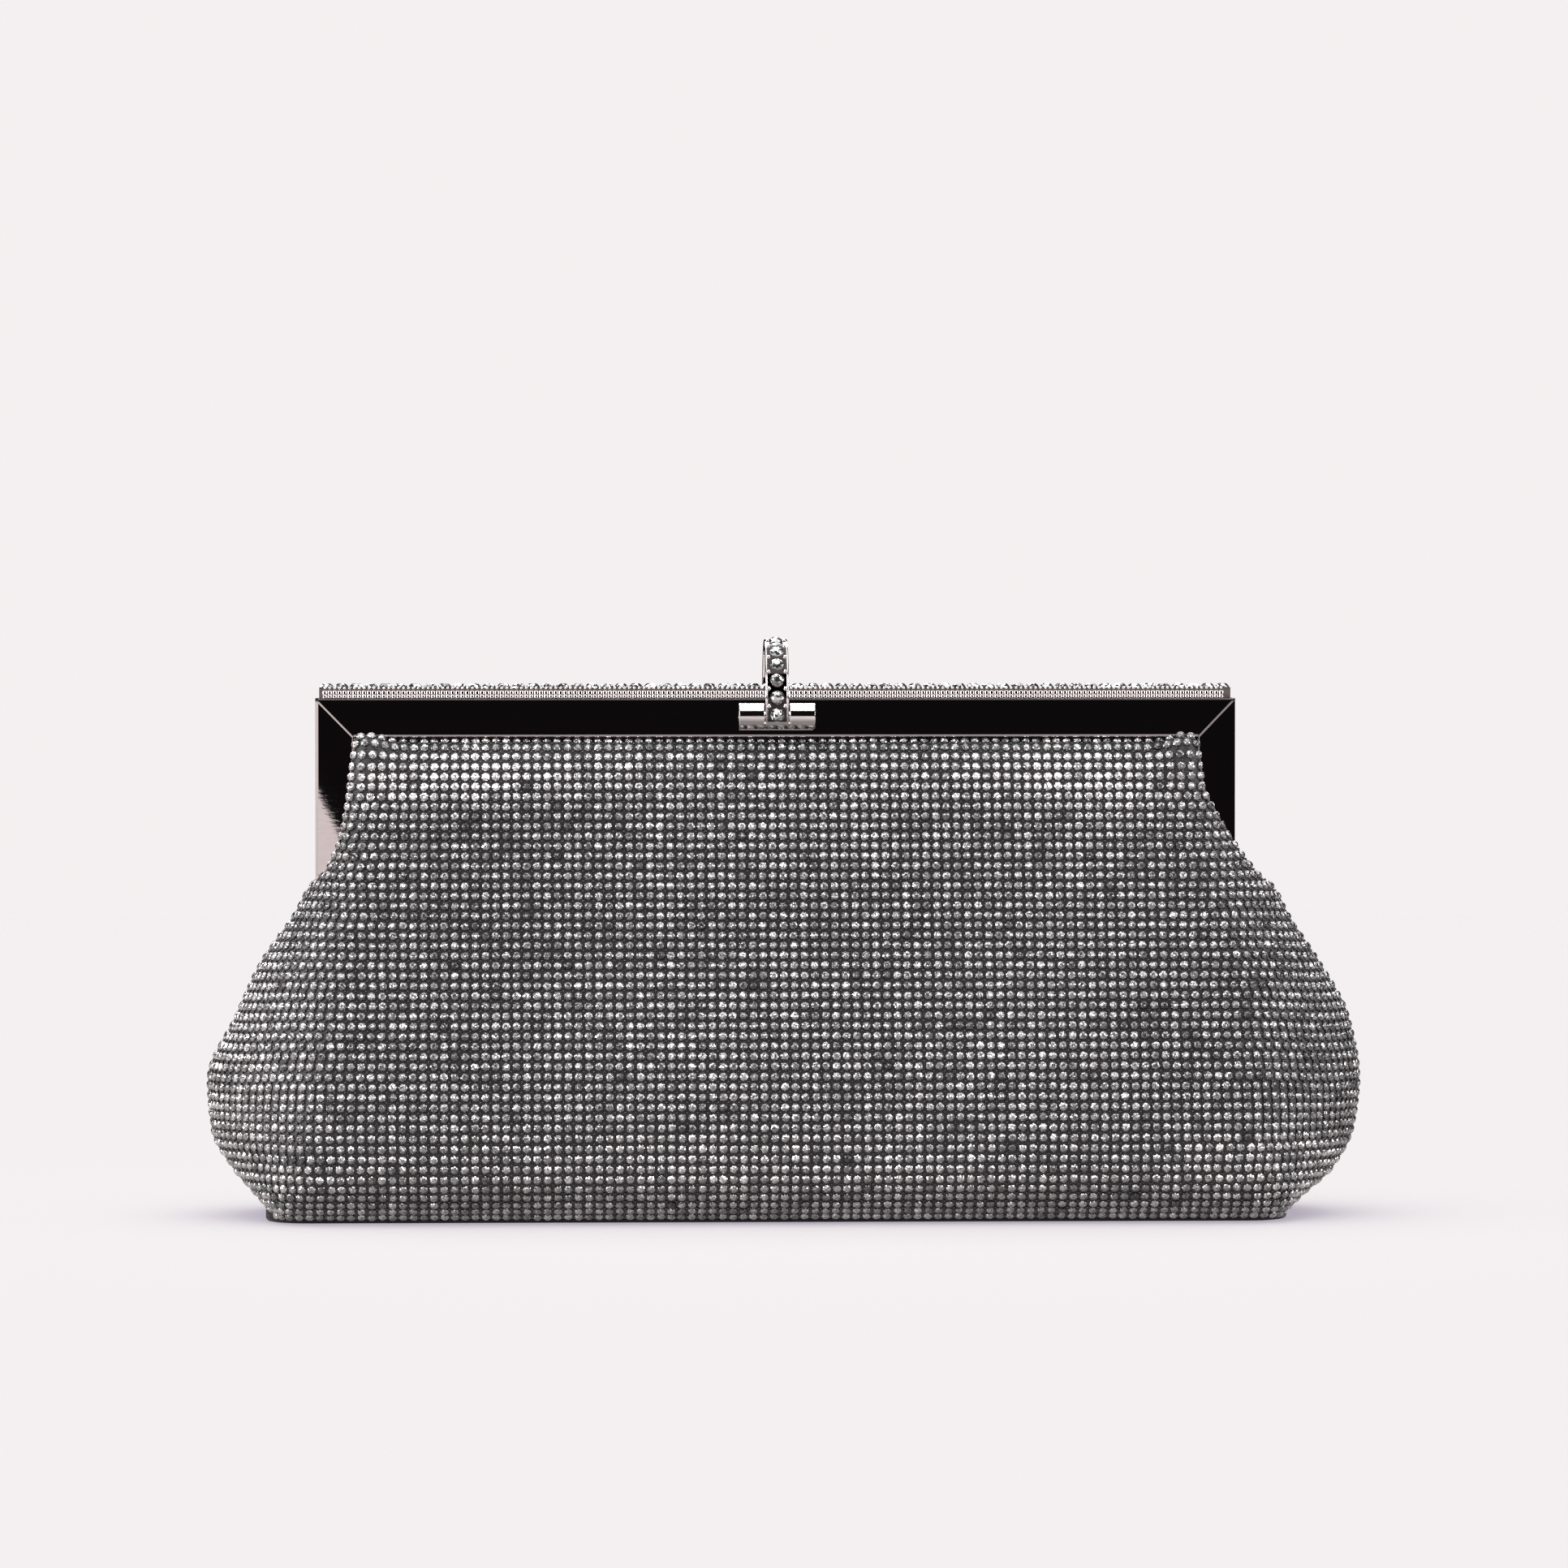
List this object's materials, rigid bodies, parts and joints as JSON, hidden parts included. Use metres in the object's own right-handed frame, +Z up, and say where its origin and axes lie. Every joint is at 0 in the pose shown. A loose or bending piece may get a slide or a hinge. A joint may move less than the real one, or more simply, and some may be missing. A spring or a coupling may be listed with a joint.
{
  "type": "frame clutch evening bag",
  "caption": "Evening clutch with a soft stone-covered pouch on a stiff base, a mitred polished metal frame that opens like a mouth, a stone rail and a flip-over hoop clasp.",
  "frame": {"origin": "middle of the flat base, on the surface the bag stands on", "axes": "+X along the bag's length, -Y out of the front, +Z up"},
  "size_m": [0.2674, 0.0652, 0.1338],
  "materials": {
    "stone_mesh": "close rows of small faceted glass stones on a silver-grey fabric",
    "foam": "thin soft interlining",
    "satin": "satin lining, soft sheen",
    "metal": "mirror polished plating",
    "crystal": "cut clear stone with a foiled back",
    "board": "pressed fibre board",
    "sole": "dark grey metallic weave",
    "cord": "twisted paper cord"
  },
  "bodies": {
    "pouch": {"front_panel_lower": "stone_mesh", "back_panel_lower": "stone_mesh", "front_interlining": "foam", "back_interlining": "foam", "front_lining_lower": "satin", "back_lining_lower": "satin", "base_lining": "satin", "slip_pocket": "satin", "pocket_hem": "satin", "base_board": "board", "base_cover": "sole", "hinge_rivet_left": "metal", "hinge_rivet_right": "metal", "hinge_washer_left": "metal", "hinge_washer_right": "metal"},
    "front_half": {"front_frame": "metal", "front_cord": "cord", "front_panel_upper": "stone_mesh", "front_lining_upper": "satin", "stone_rail": "metal", "rail_stones": "crystal", "clasp_knuckle_left": "metal", "clasp_knuckle_right": "metal", "clasp_pin": "metal"},
    "back_half": {"back_frame": "metal", "back_cord": "cord", "back_panel_upper": "stone_mesh", "back_lining_upper": "satin", "clasp_catch": "metal", "catch_rivets": "metal"},
    "clasp": {"clasp_arm": "metal", "clasp_stones": "crystal"}
  },
  "joints": [
    {"name": "front_open", "type": "hinge", "parent": "pouch", "child": "front_half", "pos_m": [0, 0, 0.074], "axis": [1, 0, 0], "range_deg": [0, 40]},
    {"name": "back_open", "type": "hinge", "parent": "pouch", "child": "back_half", "pos_m": [0, 0, 0.074], "axis": [-1, 0, 0], "range_deg": [0, 40]},
    {"name": "clasp_flip", "type": "hinge", "parent": "front_half", "child": "clasp", "pos_m": [0, -0.01008, 0.1156], "axis": [1, 0, 0], "range_deg": [0, 105]}
  ],
  "couplings": [
    {"joint": "back_open", "follows": "front_open", "ratio": 1}
  ]
}
